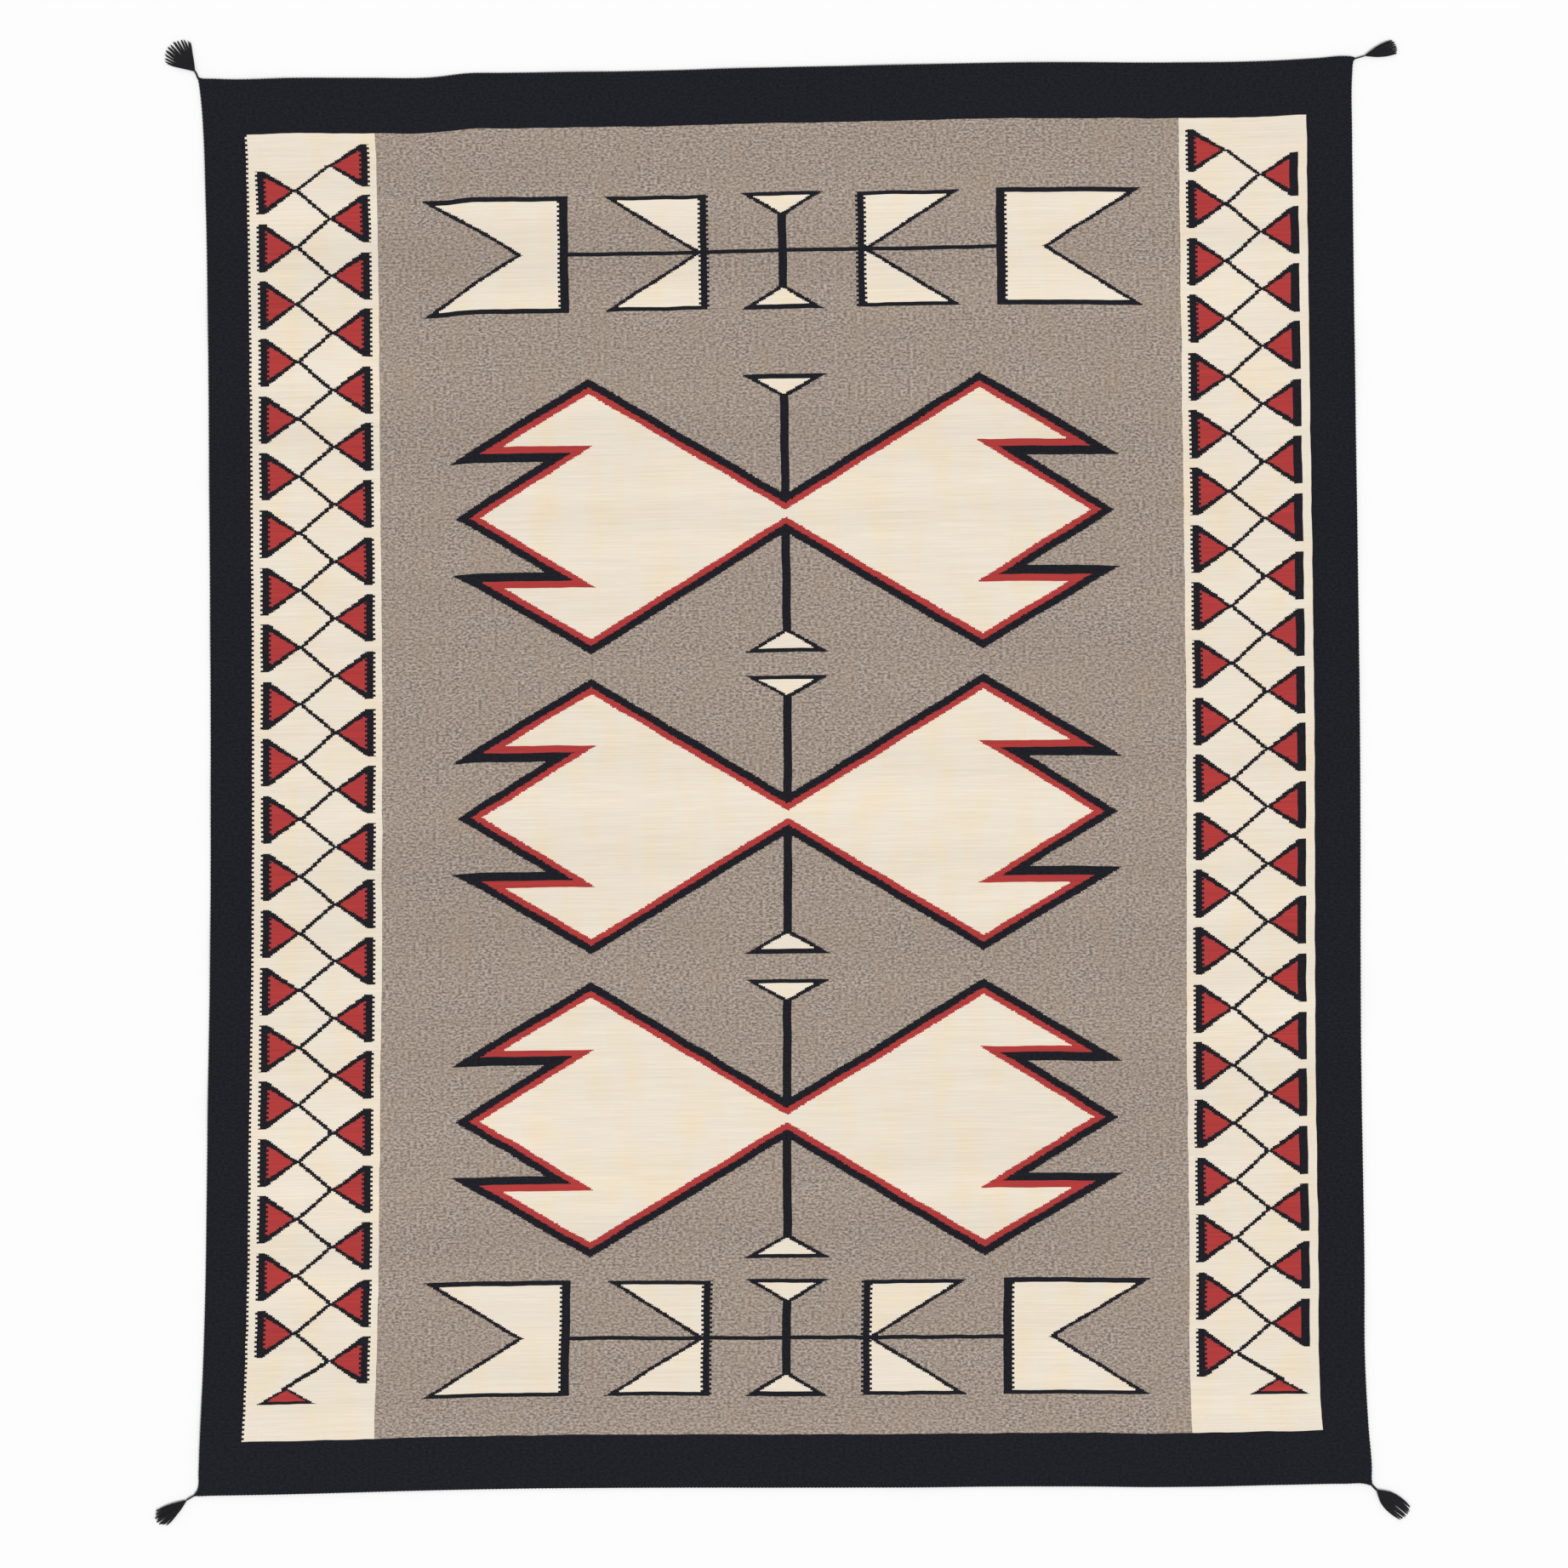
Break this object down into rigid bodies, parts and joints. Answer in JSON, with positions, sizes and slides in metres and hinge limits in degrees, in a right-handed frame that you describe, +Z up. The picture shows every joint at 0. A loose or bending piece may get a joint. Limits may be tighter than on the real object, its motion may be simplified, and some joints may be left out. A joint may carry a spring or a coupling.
{
  "type": "southwest style rug",
  "caption": "Flat-woven wool floor rug, oblong, with drawn-out corners that each end in a twisted neck and a tassel of cut wool strands.",
  "frame": {"origin": "on the floor, under the middle of the rug with its tassels", "axes": "+X across the rug, +Y along its warps towards its top end, +Z up from the floor"},
  "size_m": [2.6554, 3.1402, 0.0057],
  "materials": {
    "rug_wool": "matt weft-faced wool weave, patterned in grey, cream, red and black",
    "tassel_wool": "matt black wool yarn, twisted and cut"
  },
  "bodies": {
    "root": {"rug": "rug_wool", "tassel_top_left": "tassel_wool", "tassel_top_right": "tassel_wool", "tassel_bottom_right": "tassel_wool", "tassel_bottom_left": "tassel_wool"}
  },
  "joints": []
}
